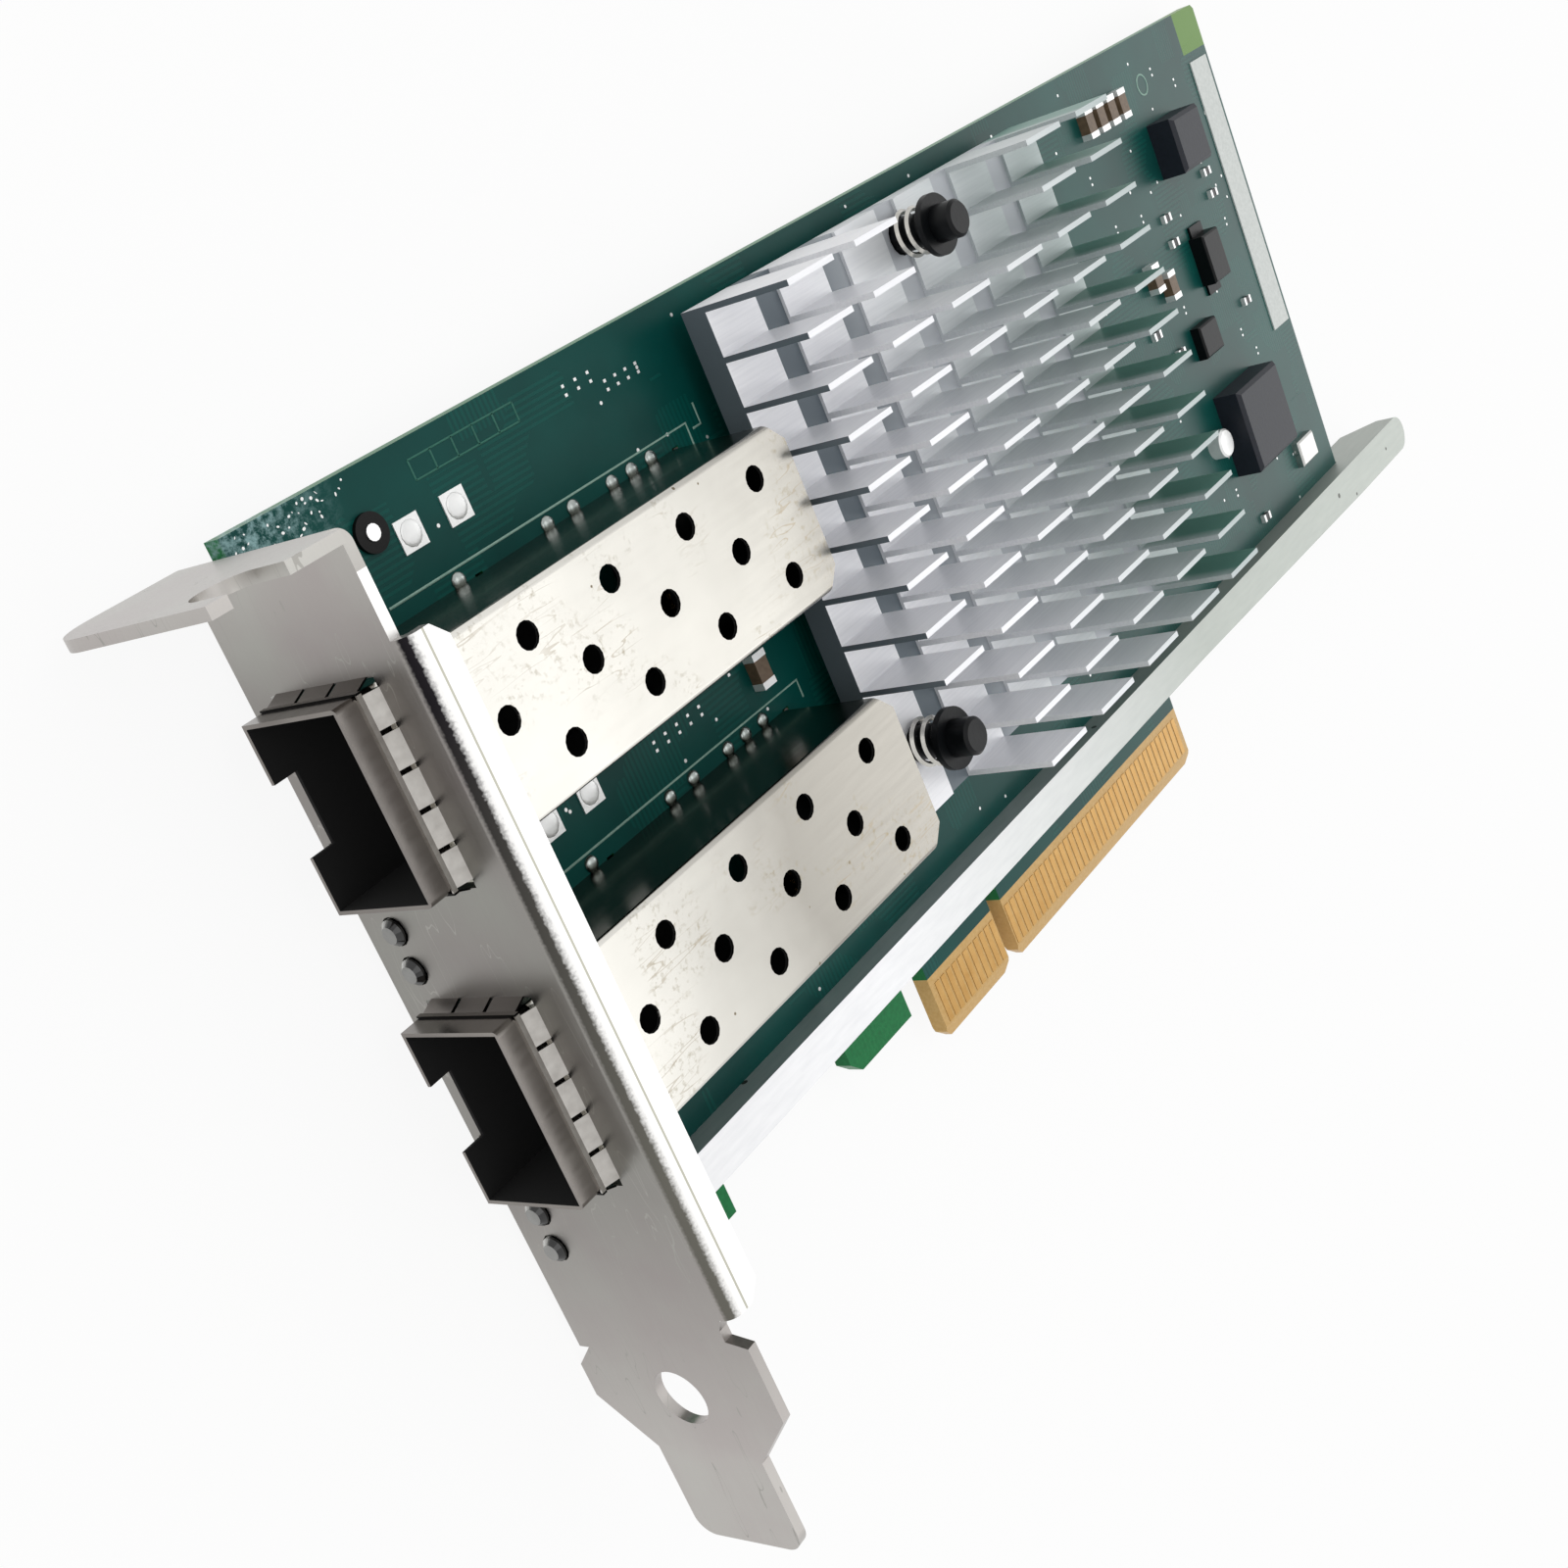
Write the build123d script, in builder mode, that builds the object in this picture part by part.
"""Dual-port network interface card with a low-profile bracket, in millimetres.

Origin: centre of the key notch, bottom of the contact edge, middle of the board's thickness.
+X runs from the bracket to the rear, +Y from the contacts to the top edge, and +Z out of the
component side.
"""
import os

from build123d import *

os.makedirs("parts", exist_ok=True)

# Board
board_t = 1.57
board_top_y = 68.9
board_near_x = -58.3
board_rear_x = 92.1
board_bottom_y = 8.25
board_corner = 0.5
tab_edge_corner = 0.8
near_stub_length = 14.9
stub_bottom_y = 4.9
mid_stub_x0 = -25.5
mid_stub_length = 9.3
mid_stub_corner = 1.2

# Small round holes have this many flat sides, with the stated radius across the flats
hole_sides = 14

# Contact edge, eight lanes
short_tab = 11.65
long_tab = 38.65
key_width = 1.9
contact_pitch = 1.0
contact_width = 0.7
contact_t = 0.05
contact_y0 = 1.4
contact_y1 = 5.4
key_to_first = 1.5
short_count = 11
long_count = 38
bevel_height = 1.2
bevel_depth = 0.45

# Bracket
sheet_t = 0.86
bracket_x = -59.8
bracket_width = 18.42
bracket_low_z = -3.13
edge_inset = 0.95
tab_top_y = 68.0
tab_reach = 11.43
tab_corner = 4.0
tab_slot_width = 4.42
tab_slot_depth = 5.2
tab_slot_x = 7.6
bend_outer = 1.2
bend_relief = 0.8
neck_inset = 1.4
lip_depth = 3.3
lip_y0 = 9.2
lip_y1 = 60.5
lip_corner = 1.2
shoulder_y0 = 0.5
shoulder_y1 = 3.4
shoulder_y2 = 6.9
foot_notch_depth = 1.9
foot_notch_y = 5.2
tongue_width = 10.19
tongue_z0 = 0.98
tongue_top_y = -3.8
tongue_end_y = -12.1
tongue_corner = 1.6
tongue_hole_r = 2.35
tongue_hole_y = 1.45
ear_length = 15.2
ear_width = 4.4

# Cages and ports
port_pitch = 23.24
lower_port_y = 27.79
cage_width = 14.0
cage_height = 9.59
cage_wall = 0.3
cage_front_reach = 3.3
cage_rear_x = -14.4
cage_corner = 1.7
vent_r = 1.02
vent_pitch = 9.04
vent_row_y = 4.0
vent_x0 = -46.55
floor_length = 31.0
floor_notch_width = 5.4
floor_notch_depth = 2.0
opening_clearance = 0.5
cage_pin_pitch = 8.0
cage_pin_count = 4
cage_pin_x0 = -39.8
cage_pin_width = 0.6
cage_pin_drop = 0.7
cage_hole_clearance = 0.2
collar_t = 0.15
collar_band = 0.4
finger_length = 1.1
finger_flare = 0.45
finger_gap = 0.35
side_fingers = 3
top_fingers = 5

# Port connectors
housing_length = 11.0
housing_side_gap = 1.1
housing_height = 5.6
housing_rear_gap = 2.2
slot_width = 9.4
slot_height = 1.5
slot_depth = 6.0
slot_z = 2.9
port_contacts = 10
port_contact_pitch = 0.8
port_contact_width = 0.4
port_contact_t = 0.2
slot_clearance = 0.4

# Light pipes
pipe_first = 10.3
pipe_spacing = 3.1
pipe_r = 1.02
pipe_clearance = 0.1
pipe_reach = 0.6
pipe_block_length = 5.0
pipe_block_width = 2.0
pipe_block_height = 1.2
led_length = 1.6
led_width = 1.2
led_height = 0.8

# Heat sink
sink_x0 = -11.5
sink_y1 = 67.23
base_under = 2.1
base_t = 2.4
fin_height = 8.6
fin_t = 0.5
fin_pitch = 4.211
fin_rows = 12
fin_length = 6.42
column_pitch = 9.643
fin_columns = 6
channel_depth = 0.3
upper_pocket_rows = 2
upper_pocket_columns = (2, 3)
lower_pocket_rows = 3
chip_size = 23.0
pad_size = 20.0
pad_t = 0.3

# Push pins
pin_shaft_r = 1.5
pin_hole_clearance = 0.15
pin_head_r = 2.7
pin_head_t = 0.6
pin_knob_r = 1.65
pin_knob_height = 2.2
pin_spring_height = 3.35
pin_barb_r = 2.0
pin_barb_height = 1.4
wire_r = 0.25
spring_clearance = 0.2
spring_turns = 2.5
upper_pin_x = 17.0
upper_pin_y = 64.0
lower_pin_x = -6.9
lower_pin_y = 26.4

# Stiffener rail and its fasteners
rail_y0 = 9.2
rail_width = 3.5
rail_height = 2.4
rail_end_x = 107.85
nose_drop = 1.73
nose_slope = 3.9
flare_x = 45.0
nose_tip = 1.9
nose_flare = 0.7
rail_gap = 0.3
rivet_x = -47.1
rivet_y = 64.4
rivet_flange_r = 1.45
rivet_flange_t = 0.35
rivet_r = 1.0
rivet_bore_r = 0.6
stem_proud = 0.1
rail_rivet_x = -46.2
screw_r = 1.0
screw_head_r = 1.9
screw_head_t = 1.1
screw_depth = 1.7
screw_x = (20.0, 84.0)

# Parts on the board: x, y of the middle, then length, width and height
power_inductor_box = (73.6, 25.4, 10.6, 9.4, 3.2)
phase_inductor_box = (76.6, 56.8, 6.8, 6.0, 3.1)
diode_box = (76.2, 43.9, 4.0, 5.4, 1.8)
memory_box = (70.4, 36.4, 4.4, 3.6, 1.2)
crystal_box = (84.8, 17.4, 4.4, 3.0, 0.9)
part_edge = 0.4
diode_lead_length = 1.2
diode_lead_t = 0.3
round_part_x = 65.4
round_part_y = 25.7
round_part_r = 1.6
round_part_height = 1.6
capacitor_length = 1.6
capacitor_width = 3.0
capacitor_height = 1.1
capacitor_spots = [(60.4, 63.4), (63.0, 63.4), (65.6, 63.4), (68.2, 63.4)]
capacitor_spots += [(63.4, 45.6), (66.2, 43.9), (-17.5, 39.2)]
resistor_length = 1.6
resistor_width = 0.8
resistor_height = 0.45
resistor_spots = [(70.6, 47.4), (70.6, 50.2), (82.6, 49.5), (82.6, 52.0)]
resistor_spots += [(60.6, 40.2), (64.4, 36.9), (82.4, 36.8), (71.0, 14.6)]
solder_pad_size = 2.4
solder_pad_t = 0.12
solder_pad_spots = [(-43.9, 63.0), (-39.1, 63.0), (-43.9, 39.9), (-39.1, 39.9)]
label_x0 = 87.2
label_width = 4.2
label_y0 = 31.5
label_y1 = 63.3
label_t = 0.15

# Worked out from the sizes above
board_z1 = board_t / 2
board_z0 = -board_t / 2
tab_x0 = -key_width / 2 - short_tab
tab_x1 = key_width / 2 + long_tab
bracket_in_x = bracket_x + sheet_t
bracket_high_z = bracket_low_z + bracket_width
edge_z = bracket_low_z + edge_inset
neck_z = bracket_high_z - neck_inset
tab_root_y = tab_top_y - neck_inset
lip_z0 = bracket_high_z - sheet_t
upper_port_y = lower_port_y + port_pitch
ports = {"upper": upper_port_y, "lower": lower_port_y}
cage_front_x = bracket_x - cage_front_reach
cage_top_z = board_z1 + cage_height
housing_width = cage_width - 2 * housing_side_gap
base_z0 = board_z1 + base_under
base_z1 = base_z0 + base_t
sink_length = column_pitch * (fin_columns - 1) + fin_length
sink_width = fin_pitch * (fin_rows - 1) + fin_t
sink_x1 = sink_x0 + sink_length
sink_y0 = sink_y1 - sink_width
chip_x = (sink_x0 + sink_x1) / 2
chip_y = (sink_y0 + sink_y1) / 2
rail_y1 = rail_y0 + rail_width
rail_y = (rail_y0 + rail_y1) / 2
rail_z1 = board_z1 + rail_height
nose_z = board_z0 - nose_drop
ear_z0 = board_z0 - sheet_t
ear_root_z = ear_z0 + 2 * bend_outer
rivets = [(rivet_x, rivet_y), (rail_rivet_x, rail_y)]
pins = {"upper": (upper_pin_x, upper_pin_y), "lower": (lower_pin_x, lower_pin_y)}
cage_pins = {
    port: [
        (cage_pin_x0 + i * cage_pin_pitch, centre + side * (cage_width - cage_wall) / 2)
        for side in (-1, 1)
        for i in range(cage_pin_count)
    ]
    for port, centre in ports.items()
}


def edges_at(part, axis, **place):
    """Edges along an axis whose middle lies at the given coordinates."""
    return part.edges().filter_by(axis).filter_by(
        lambda edge: all(abs(getattr(edge.center(), key) - value) < 0.01 for key, value in place.items())
    )


# The board, with its stubs, key notch, bevelled contact edge and holes
with BuildPart() as circuit_board:
    with BuildSketch(Plane.XY.offset(board_z0)):
        with BuildLine():
            Polyline(
                (board_near_x, stub_bottom_y),
                (board_near_x + near_stub_length, stub_bottom_y),
                (board_near_x + near_stub_length, board_bottom_y),
                (mid_stub_x0, board_bottom_y),
                (mid_stub_x0, stub_bottom_y + mid_stub_corner),
                (mid_stub_x0 + mid_stub_corner, stub_bottom_y),
                (mid_stub_x0 + mid_stub_length, stub_bottom_y),
                (mid_stub_x0 + mid_stub_length, board_bottom_y),
                (tab_x0, board_bottom_y),
                (tab_x0, tab_edge_corner),
                (tab_x0 + tab_edge_corner, 0),
                (-key_width / 2 - tab_edge_corner, 0),
                (-key_width / 2, tab_edge_corner),
                (-key_width / 2, board_bottom_y - key_width / 2),
            )
            ThreePointArc(
                (-key_width / 2, board_bottom_y - key_width / 2),
                (0, board_bottom_y),
                (key_width / 2, board_bottom_y - key_width / 2),
            )
            Polyline(
                (key_width / 2, board_bottom_y - key_width / 2),
                (key_width / 2, tab_edge_corner),
                (key_width / 2 + tab_edge_corner, 0),
                (tab_x1 - tab_edge_corner, 0),
                (tab_x1, tab_edge_corner),
                (tab_x1, board_bottom_y),
                (board_rear_x - board_corner, board_bottom_y),
                (board_rear_x, board_bottom_y + board_corner),
                (board_rear_x, board_top_y - board_corner),
                (board_rear_x - board_corner, board_top_y),
                (board_near_x, board_top_y),
                (board_near_x, stub_bottom_y),
            )
        make_face()
        for spots, radius in (
            (rivets, rivet_r),
            ([(x, rail_y) for x in screw_x], screw_r),
            (list(pins.values()), pin_shaft_r + pin_hole_clearance),
        ):
            with Locations(spots):
                RegularPolygon(radius, hole_sides, major_radius=False, mode=Mode.SUBTRACT)
        for spots in cage_pins.values():
            with Locations(spots):
                slot_size = (cage_pin_width + cage_hole_clearance, cage_wall + cage_hole_clearance)
                Rectangle(*slot_size, mode=Mode.SUBTRACT)
    extrude(amount=board_t)
    with BuildSketch(Plane.YZ.offset(tab_x0)):
        for side in (-1, 1):
            with BuildLine():
                Polyline(
                    (0, side * board_z1),
                    (bevel_height, side * board_z1),
                    (0, side * (board_z1 - bevel_depth)),
                    close=True,
                )
            make_face()
    extrude(amount=tab_x1 - tab_x0, mode=Mode.SUBTRACT)
circuit_board.part.label = "circuit_board"
export_step(circuit_board.part, "parts/circuit_board.step")

# Gold contacts, one group for each side of the board
contact_y = (contact_y0 + contact_y1) / 2
contact_spots = [(-key_to_first - i * contact_pitch, contact_y) for i in range(short_count)]
contact_spots += [(key_to_first + i * contact_pitch, contact_y) for i in range(long_count)]
for name, level in (("edge_contacts_front", board_z1), ("edge_contacts_back", board_z0 - contact_t)):
    with BuildPart() as contacts:
        with BuildSketch(Plane.XY.offset(level)):
            with Locations(contact_spots):
                Rectangle(contact_width, contact_y1 - contact_y0)
        extrude(amount=contact_t)
    contacts.part.label = name
    export_step(contacts.part, f"parts/{name}.step")

# The bracket: one folded sheet with a face, tab, lip, tongue and two ears
def fold_section(points):
    """Draw an L-shaped section whose second point is the bend's outside and fifth its inside."""
    with BuildSketch() as section:
        Polygon(*points, align=None)
        fillet(section.vertices().sort_by_distance(Vector(*points[1]))[0], bend_outer)
        fillet(section.vertices().sort_by_distance(Vector(*points[4]))[0], bend_outer - sheet_t)
    return section.sketch


with BuildPart() as bracket:
    with BuildSketch(Plane.YZ.offset(bracket_x)) as bracket_face:
        Polygon(
            (tongue_end_y, tongue_z0),
            (tongue_top_y, tongue_z0),
            (shoulder_y0, bracket_low_z),
            (shoulder_y1, bracket_low_z),
            (foot_notch_y, bracket_low_z + foot_notch_depth),
            (foot_notch_y, edge_z),
            (tab_root_y, edge_z),
            (tab_root_y, neck_z),
            (lip_y0, neck_z),
            (lip_y0 - foot_notch_depth / 2, bracket_high_z - foot_notch_depth),
            (lip_y0 - foot_notch_depth, bracket_high_z - foot_notch_depth),
            (shoulder_y2, bracket_high_z),
            (shoulder_y0, bracket_high_z),
            (tongue_top_y, tongue_z0 + tongue_width),
            (tongue_end_y, tongue_z0 + tongue_width),
            align=None,
        )
        fillet(bracket_face.vertices().group_by(Axis.X)[0], tongue_corner)
        with Locations((tongue_hole_y, tongue_z0 + tongue_width / 2)):
            Circle(tongue_hole_r, mode=Mode.SUBTRACT)
        for centre in ports.values():
            hole_z0 = board_z1 - opening_clearance
            hole_z1 = cage_top_z + opening_clearance
            with Locations((centre, (hole_z0 + hole_z1) / 2)):
                Rectangle(cage_width + 2 * opening_clearance, hole_z1 - hole_z0, mode=Mode.SUBTRACT)
            with Locations([(centre - pipe_first - i * pipe_spacing, board_z1) for i in range(2)]):
                RegularPolygon(pipe_r + pipe_clearance, hole_sides, major_radius=False, mode=Mode.SUBTRACT)
    extrude(amount=sheet_t)
    with BuildSketch(Plane.XY.offset(edge_z)):
        add(
            fold_section(
                [
                    (bracket_in_x, tab_root_y),
                    (bracket_in_x, tab_top_y),
                    (bracket_x - tab_reach, tab_top_y),
                    (bracket_x - tab_reach, tab_top_y - sheet_t),
                    (bracket_x, tab_top_y - sheet_t),
                    (bracket_x, tab_root_y),
                ]
            )
        )
    extrude(amount=neck_z - edge_z)
    with BuildSketch(Plane.XZ.offset(-tab_top_y)):
        wing_length = tab_reach - bend_relief
        with Locations((bracket_x - tab_reach + wing_length / 2, (neck_z + bracket_high_z) / 2)):
            Rectangle(wing_length, bracket_high_z - neck_z)
    extrude(amount=sheet_t)
    with BuildSketch(Plane.XZ.offset(-tab_top_y)):
        slot_end_z = bracket_high_z - tab_slot_depth + tab_slot_width / 2
        with Locations((bracket_x - tab_slot_x, slot_end_z)):
            Circle(tab_slot_width / 2)
        with Locations((bracket_x - tab_slot_x, (slot_end_z + bracket_high_z) / 2)):
            Rectangle(tab_slot_width, bracket_high_z - slot_end_z)
    extrude(amount=sheet_t, mode=Mode.SUBTRACT)
    fillet(edges_at(bracket, Axis.Y, X=bracket_x - tab_reach, Z=edge_z), tab_corner)
    with BuildSketch(Plane.XZ.offset(-lip_y1)):
        add(
            fold_section(
                [
                    (bracket_x, neck_z),
                    (bracket_x, bracket_high_z),
                    (bracket_x + lip_depth, bracket_high_z),
                    (bracket_x + lip_depth, lip_z0),
                    (bracket_in_x, lip_z0),
                    (bracket_in_x, neck_z),
                ]
            )
        )
    extrude(amount=lip_y1 - lip_y0)
    for end_y in (lip_y0, lip_y1):
        chamfer(edges_at(bracket, Axis.Z, X=bracket_x + lip_depth, Y=end_y), lip_corner)
    for x, y in rivets:
        with BuildSketch(Plane.XZ.offset(-(y + ear_width / 2))):
            add(
                fold_section(
                    [
                        (bracket_x, ear_root_z),
                        (bracket_x, ear_z0),
                        (bracket_x + ear_length, ear_z0),
                        (bracket_x + ear_length, board_z0),
                        (bracket_in_x, board_z0),
                        (bracket_in_x, ear_root_z),
                    ]
                )
            )
        extrude(amount=ear_width)
    with BuildSketch(Plane.XY.offset(ear_z0)):
        with Locations(rivets):
            RegularPolygon(rivet_r, hole_sides, major_radius=False)
    extrude(amount=sheet_t, mode=Mode.SUBTRACT)
bracket.part.label = "bracket"
export_step(bracket.part, "parts/bracket.step")


# The cages: folded boxes, open in front, with vents, a cut floor and press-in pins
def cage_outline(inset, front_x):
    """Plan of a cage with cut rear corners, drawn in by an inset."""
    half = cage_width / 2 - inset
    rear = cage_rear_x - inset
    return [
        (front_x, -half),
        (rear - cage_corner, -half),
        (rear, -half + cage_corner),
        (rear, half - cage_corner),
        (rear - cage_corner, half),
        (front_x, half),
    ]


for port, centre in ports.items():
    with BuildPart() as cage:
        with BuildSketch(Plane((0, centre, board_z1))):
            Polygon(*cage_outline(0, cage_front_x), align=None)
        extrude(amount=cage_height)
        fillet(edges_at(cage, Axis.X, Z=cage_top_z), cage_wall * 1.5)
        with BuildSketch(Plane((0, centre, board_z1 + cage_wall))):
            Polygon(*cage_outline(cage_wall, cage_front_x), align=None)
        extrude(amount=cage_height - 2 * cage_wall, mode=Mode.SUBTRACT)
        with BuildSketch(Plane((0, centre, board_z1))):
            cut_x0 = cage_front_x + floor_length
            cut_x1 = cage_rear_x - housing_rear_gap + slot_clearance
            with Locations(((cut_x0 + cut_x1) / 2, 0)):
                Rectangle(cut_x1 - cut_x0, housing_width + 2 * slot_clearance)
            with Locations((cage_front_x + floor_notch_depth / 2, 0)):
                Rectangle(floor_notch_depth, floor_notch_width)
        extrude(amount=cage_wall, mode=Mode.SUBTRACT)
        with BuildSketch(Plane((0, centre, cage_top_z - cage_wall))):
            for row in (-1, 0, 1):
                shift = -vent_pitch / 2 if row == 0 else 0
                with Locations([(vent_x0 + shift + i * vent_pitch, row * vent_row_y) for i in range(4)]):
                    RegularPolygon(vent_r, hole_sides, major_radius=False)
        extrude(amount=cage_wall, mode=Mode.SUBTRACT)
        with BuildSketch(Plane.XY.offset(board_z0 - cage_pin_drop)):
            with Locations(cage_pins[port]):
                Rectangle(cage_pin_width, cage_wall)
        extrude(amount=board_t + cage_pin_drop)
    cage.part.label = f"{port}_cage"
    export_step(cage.part, f"parts/{port}_cage.step")

# Spring collars: a thin band round each cage, with fingers that press on the bracket
finger_x = bracket_x - finger_length
band_x = finger_x - collar_band
for port, centre in ports.items():
    with BuildPart() as collar:
        with BuildSketch(Plane.YZ.offset(band_x)):
            with Locations((centre, board_z1 + cage_height / 2)):
                Rectangle(cage_width + 2 * collar_t, cage_height + 2 * collar_t)
                Rectangle(cage_width, cage_height, mode=Mode.SUBTRACT)
            with Locations((centre, board_z1)):
                Rectangle(floor_notch_width, 4 * collar_t, mode=Mode.SUBTRACT)
        extrude(amount=collar_band)
        width = cage_width / top_fingers
        for i in range(top_fingers):
            y = centre - cage_width / 2 + i * width + finger_gap / 2
            with BuildSketch(Plane.XZ.offset(-(y + width - finger_gap))):
                Polygon(
                    (finger_x, cage_top_z),
                    (bracket_x, cage_top_z + finger_flare),
                    (bracket_x, cage_top_z + finger_flare + collar_t),
                    (finger_x, cage_top_z + collar_t),
                    align=None,
                )
            extrude(amount=width - finger_gap)
        width = cage_height / side_fingers
        for side in (-1, 1):
            wall_y = centre + side * cage_width / 2
            for i in range(side_fingers):
                with BuildSketch(Plane.XY.offset(board_z1 + i * width + finger_gap / 2)):
                    Polygon(
                        (finger_x, wall_y),
                        (bracket_x, wall_y + side * finger_flare),
                        (bracket_x, wall_y + side * (finger_flare + collar_t)),
                        (finger_x, wall_y + side * collar_t),
                        align=None,
                    )
                extrude(amount=width - finger_gap)
    collar.part.label = f"{port}_spring_collar"
    export_step(collar.part, f"parts/{port}_spring_collar.step")

# Port connectors: black receptacles on the board, with two rows of contacts in the slot
housing_x1 = cage_rear_x - housing_rear_gap
housing_x0 = housing_x1 - housing_length
slot_z0 = board_z1 + slot_z
for port, centre in ports.items():
    with BuildPart() as housing:
        with BuildSketch(Plane.XZ.offset(-(centre + housing_width / 2))):
            nose = housing_height / 4
            Polygon(
                (housing_x0, board_z1),
                (housing_x1, board_z1),
                (housing_x1, board_z1 + housing_height),
                (housing_x0 + nose, board_z1 + housing_height),
                (housing_x0, board_z1 + housing_height - nose),
                align=None,
            )
        extrude(amount=housing_width)
        with BuildSketch(Plane.YZ.offset(housing_x0)):
            with Locations((centre, slot_z0 + slot_height / 2)):
                Rectangle(slot_width, slot_height)
        extrude(amount=slot_depth, mode=Mode.SUBTRACT)
    housing.part.label = f"{port}_port_connector"
    export_step(housing.part, f"parts/{port}_port_connector.step")

    with BuildPart() as blades:
        for level in (slot_z0, slot_z0 + slot_height - port_contact_t):
            with BuildSketch(Plane((housing_x0 + slot_depth / 2, centre, level))):
                with GridLocations(0, port_contact_pitch, 1, port_contacts):
                    Rectangle(slot_depth, port_contact_width)
            extrude(amount=port_contact_t)
    blades.part.label = f"{port}_port_contacts"
    export_step(blades.part, f"parts/{port}_port_contacts.step")

# Light pipes: two round lenses joined by a block on the board
for port, centre in ports.items():
    lens_y = [centre - pipe_first - i * pipe_spacing for i in range(2)]
    with BuildPart() as light_pipe:
        with BuildSketch(Plane.YZ.offset(bracket_x - pipe_reach)):
            with Locations([(y, board_z1) for y in lens_y]):
                Circle(pipe_r)
        extrude(amount=board_near_x - bracket_x + pipe_reach)
        chamfer(light_pipe.edges().group_by(Axis.X)[0], pipe_reach * 0.6)
        with BuildSketch(Plane.XY.offset(board_z1)):
            block_x0 = bracket_in_x + pipe_clearance
            for y in lens_y:
                with Locations((block_x0 + pipe_block_length / 2, y)):
                    Rectangle(pipe_block_length, pipe_block_width)
            with Locations((block_x0 + pipe_block_length / 4, sum(lens_y) / 2)):
                Rectangle(pipe_block_length / 2, pipe_spacing)
        extrude(amount=pipe_block_height)
    light_pipe.part.label = f"{port}_light_pipe"
    export_step(light_pipe.part, f"parts/{port}_light_pipe.step")

with BuildPart() as status_leds:
    led_x = bracket_in_x + pipe_clearance + pipe_block_length + led_length / 2
    with BuildSketch(Plane.XY.offset(board_z1)):
        for centre in ports.values():
            with Locations([(led_x, centre - pipe_first - i * pipe_spacing) for i in range(2)]):
                Rectangle(led_length, led_width)
    extrude(amount=led_height)
status_leds.part.label = "status_leds"
export_step(status_leds.part, "parts/status_leds.step")

# The heat sink: a base with rows of fins, cut across into columns, with two pockets
fin_spots = []
for row in range(fin_rows):
    for column in range(fin_columns):
        in_upper_pocket = row < upper_pocket_rows and column in upper_pocket_columns
        in_lower_pocket = row >= fin_rows - lower_pocket_rows and column == 0
        if not in_upper_pocket and not in_lower_pocket:
            fin_x = sink_x0 + column * column_pitch + fin_length / 2
            fin_spots.append((fin_x, sink_y1 - fin_t / 2 - row * fin_pitch))
channel_width = column_pitch - fin_length
with BuildPart() as heat_sink:
    with BuildSketch(Plane.XY.offset(base_z0)):
        with Locations((chip_x, chip_y)):
            Rectangle(sink_length, sink_width)
    extrude(amount=base_t)
    with BuildSketch(Plane.XY.offset(base_z1)):
        with Locations(fin_spots):
            Rectangle(fin_length, fin_t)
    extrude(amount=fin_height)
    with BuildSketch(Plane.XY.offset(base_z1)):
        for column in range(fin_columns - 1):
            cut_x = sink_x0 + column * column_pitch + fin_length + channel_width / 2
            with Locations((cut_x, chip_y)):
                Rectangle(channel_width, sink_width)
    extrude(amount=-channel_depth, mode=Mode.SUBTRACT)
    with BuildSketch(Plane.XY.offset(base_z0)):
        with Locations(list(pins.values())):
            RegularPolygon(pin_shaft_r + pin_hole_clearance, hole_sides, major_radius=False)
    extrude(amount=base_t, mode=Mode.SUBTRACT)
heat_sink.part.label = "heat_sink"
export_step(heat_sink.part, "parts/heat_sink.step")

with BuildPart() as controller_chip:
    with BuildSketch(Plane.XY.offset(board_z1)):
        with Locations((chip_x, chip_y)):
            Rectangle(chip_size, chip_size)
    extrude(amount=base_under - pad_t)
controller_chip.part.label = "controller_chip"
export_step(controller_chip.part, "parts/controller_chip.step")

with BuildPart() as thermal_pad:
    with BuildSketch(Plane.XY.offset(base_z0 - pad_t)):
        with Locations((chip_x, chip_y)):
            Rectangle(pad_size, pad_size)
    extrude(amount=pad_t)
thermal_pad.part.label = "thermal_pad"
export_step(thermal_pad.part, "parts/thermal_pad.step")

# Push pins and their springs
head_z0 = base_z1 + pin_spring_height
head_z1 = head_z0 + pin_head_t
knob_z1 = head_z1 + pin_knob_height
for port, (x, y) in pins.items():
    with BuildPart() as push_pin:
        with BuildSketch(Plane((x, y, 0), x_dir=(1, 0, 0), z_dir=(0, -1, 0))):
            Polygon(
                (0, board_z0 - pin_barb_height),
                (pin_shaft_r * 0.6, board_z0 - pin_barb_height),
                (pin_barb_r, board_z0),
                (pin_shaft_r, board_z0),
                (pin_shaft_r, head_z0),
                (pin_head_r, head_z0),
                (pin_head_r, head_z1),
                (pin_knob_r, head_z1),
                (pin_knob_r, knob_z1),
                (0, knob_z1),
                align=None,
            )
        revolve(axis=Axis((x, y, 0), (0, 0, 1)))
        chamfer(push_pin.edges().group_by(Axis.Z)[-1], pin_knob_r / 6)
    push_pin.part.label = f"{port}_push_pin"
    export_step(push_pin.part, f"parts/{port}_push_pin.step")

    with BuildPart() as pin_spring:
        coil_height = pin_spring_height - 2 * wire_r
        coil_r = pin_shaft_r + spring_clearance + wire_r
        with BuildLine():
            coil = Helix(
                pitch=coil_height / spring_turns,
                height=coil_height,
                radius=coil_r,
                center=(x, y, base_z1 + wire_r),
            )
        with BuildSketch(Plane(coil @ 0, z_dir=coil % 0)):
            RegularPolygon(wire_r, 4)
        sweep(is_frenet=True)
    pin_spring.part.label = f"{port}_pin_spring"
    export_step(pin_spring.part, f"parts/{port}_pin_spring.step")

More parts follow.
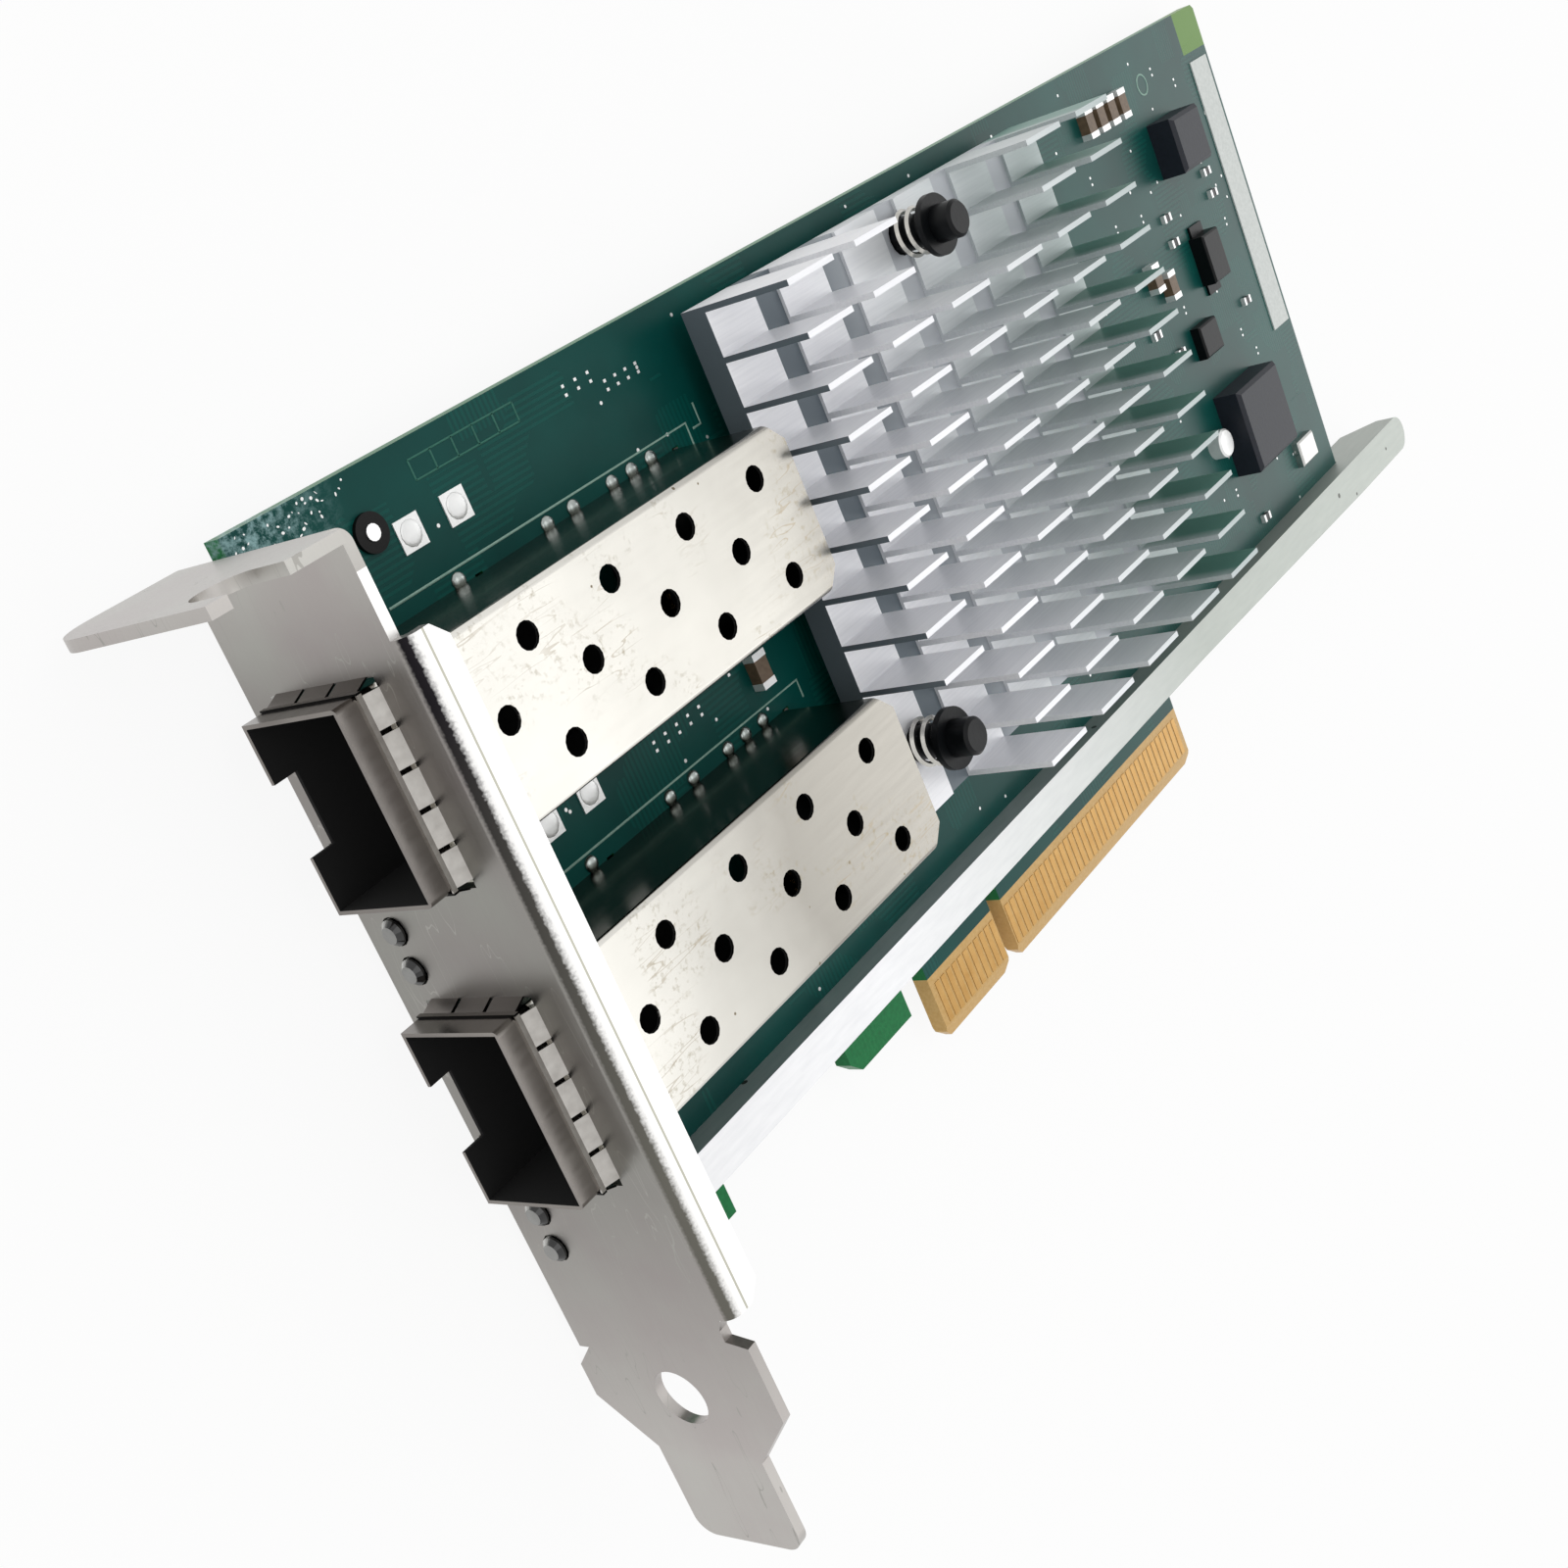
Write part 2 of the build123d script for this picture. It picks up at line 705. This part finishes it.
# The stiffener rail, with the sled-shaped nose behind the board
nose_x0 = board_rear_x + rail_gap
nose_y0 = rail_y0 - nose_flare
with BuildPart() as stiffener_rail:
    with BuildSketch(Plane.XY.offset(nose_z)):
        with BuildLine():
            Polyline(
                (rail_end_x - nose_tip, rail_y1),
                (bracket_in_x, rail_y1),
                (bracket_in_x, rail_y0),
                (flare_x, rail_y0),
                (nose_x0, nose_y0),
                (rail_end_x - nose_tip, nose_y0),
            )
            ThreePointArc(
                (rail_end_x - nose_tip, nose_y0),
                (rail_end_x, (nose_y0 + rail_y1) / 2),
                (rail_end_x - nose_tip, rail_y1),
            )
        make_face()
    extrude(amount=rail_z1 - nose_z)
    with BuildSketch(Plane.XZ.offset(-rail_y1)):
        Polygon(
            (bracket_in_x, board_z1),
            (nose_x0, board_z1),
            (nose_x0, nose_z),
            (rail_end_x - nose_tip - nose_slope, nose_z),
            (rail_end_x, rail_z1 - rail_height / 3),
            (rail_end_x, rail_z1),
            (bracket_in_x, rail_z1),
            align=None,
        )
    extrude(amount=rail_y1 - nose_y0, mode=Mode.INTERSECT)
    with BuildSketch(Plane.XY.offset(board_z1)):
        with Locations((rail_rivet_x, rail_y)):
            RegularPolygon(rivet_r, hole_sides, major_radius=False)
    extrude(amount=screw_depth, mode=Mode.SUBTRACT)
    with BuildSketch(Plane.XY.offset(board_z1)):
        with Locations([(x, rail_y) for x in screw_x]):
            RegularPolygon(screw_r, hole_sides, major_radius=False)
    extrude(amount=screw_depth, mode=Mode.SUBTRACT)
stiffener_rail.part.label = "stiffener_rail"
export_step(stiffener_rail.part, "parts/stiffener_rail.step")

with BuildPart() as rail_screws:
    with BuildSketch(Plane.XY.offset(board_z0)):
        with Locations([(x, rail_y) for x in screw_x]):
            RegularPolygon(screw_r, hole_sides, major_radius=False)
    extrude(amount=board_t + screw_depth)
    with BuildSketch(Plane.XY.offset(board_z0)):
        with Locations([(x, rail_y) for x in screw_x]):
            Circle(screw_head_r)
    extrude(amount=-screw_head_t)
rail_screws.part.label = "rail_screws"
export_step(rail_screws.part, "parts/rail_screws.step")

# Rivets through the bracket's ears
for name, (x, y), top_z, top_flange in (
    ("ear_rivet", rivets[0], board_z1, rivet_flange_t),
    ("rail_rivet", rivets[1], board_z1 + screw_depth, 0),
):
    with BuildPart() as rivet:
        with BuildSketch(Plane.XY.offset(ear_z0)):
            with Locations((x, y)):
                RegularPolygon(rivet_r, hole_sides, major_radius=False)
        extrude(amount=top_z - ear_z0)
        flanges = [(ear_z0, -rivet_flange_t)]
        if top_flange:
            flanges.append((top_z, top_flange))
        for level, thickness in flanges:
            with BuildSketch(Plane.XY.offset(level)):
                with Locations((x, y)):
                    Circle(rivet_flange_r)
            extrude(amount=thickness)
        with BuildSketch(Plane.XY.offset(ear_z0 - rivet_flange_t)):
            with Locations((x, y)):
                RegularPolygon(rivet_bore_r, hole_sides, major_radius=False)
        extrude(amount=top_z + top_flange - ear_z0 + rivet_flange_t, mode=Mode.SUBTRACT)
    rivet.part.label = name
    export_step(rivet.part, f"parts/{name}.step")

# The steel stem that is left in the bore of the upper ear's rivet
with BuildPart() as rivet_stem:
    with BuildSketch(Plane.XY.offset(ear_z0 - rivet_flange_t)):
        with Locations(rivets[0]):
            RegularPolygon(rivet_bore_r, hole_sides, major_radius=False)
    extrude(amount=board_z1 + rivet_flange_t + stem_proud - ear_z0 + rivet_flange_t)
rivet_stem.part.label = "rivet_stem"
export_step(rivet_stem.part, "parts/rivet_stem.step")


def block(name, box, edge):
    """A moulded part on the board with its upper edges cut."""
    x, y, length, width, height = box
    with BuildPart() as part:
        with BuildSketch(Plane.XY.offset(board_z1)):
            with Locations((x, y)):
                Rectangle(length, width)
        extrude(amount=height)
        chamfer(part.edges().group_by(Axis.Z)[-1], edge)
    part.part.label = name
    export_step(part.part, f"parts/{name}.step")


block("power_inductor", power_inductor_box, part_edge)
block("phase_inductor", phase_inductor_box, part_edge)
block("memory_chip", memory_box, part_edge / 2)
block("crystal_can", crystal_box, part_edge / 2)

with BuildPart() as clamp_diode:
    x, y, length, width, height = diode_box
    with BuildSketch(Plane.XY.offset(board_z1)):
        with Locations((x, y)):
            Rectangle(length, width)
    extrude(amount=height)
    chamfer(clamp_diode.edges().group_by(Axis.Z)[-1], part_edge / 2)
    with BuildSketch(Plane.XY.offset(board_z1)):
        with Locations((x, y)):
            Rectangle(length * 0.75, width + 2 * diode_lead_length)
    extrude(amount=diode_lead_t)
clamp_diode.part.label = "clamp_diode"
export_step(clamp_diode.part, "parts/clamp_diode.step")

with BuildPart() as round_capacitor:
    with BuildSketch(Plane.XY.offset(board_z1)):
        with Locations((round_part_x, round_part_y)):
            Circle(round_part_r)
    extrude(amount=round_part_height)
    chamfer(round_capacitor.edges().group_by(Axis.Z)[-1], round_part_r / 8)
round_capacitor.part.label = "round_capacitor"
export_step(round_capacitor.part, "parts/round_capacitor.step")

for name, spots, (length, width, height) in (
    ("ceramic_capacitors", capacitor_spots, (capacitor_length, capacitor_width, capacitor_height)),
    ("chip_resistors", resistor_spots, (resistor_length, resistor_width, resistor_height)),
    ("solder_pads", solder_pad_spots, (solder_pad_size, solder_pad_size, solder_pad_t)),
):
    with BuildPart() as group:
        with BuildSketch(Plane.XY.offset(board_z1)):
            with Locations(spots):
                Rectangle(length, width)
        extrude(amount=height)
    group.part.label = name
    export_step(group.part, f"parts/{name}.step")

with BuildPart() as label_strip:
    with BuildSketch(Plane.XY.offset(board_z1)):
        with Locations((label_x0 + label_width / 2, (label_y0 + label_y1) / 2)):
            Rectangle(label_width, label_y1 - label_y0)
    extrude(amount=label_t)
label_strip.part.label = "label_strip"
export_step(label_strip.part, "parts/label_strip.step")
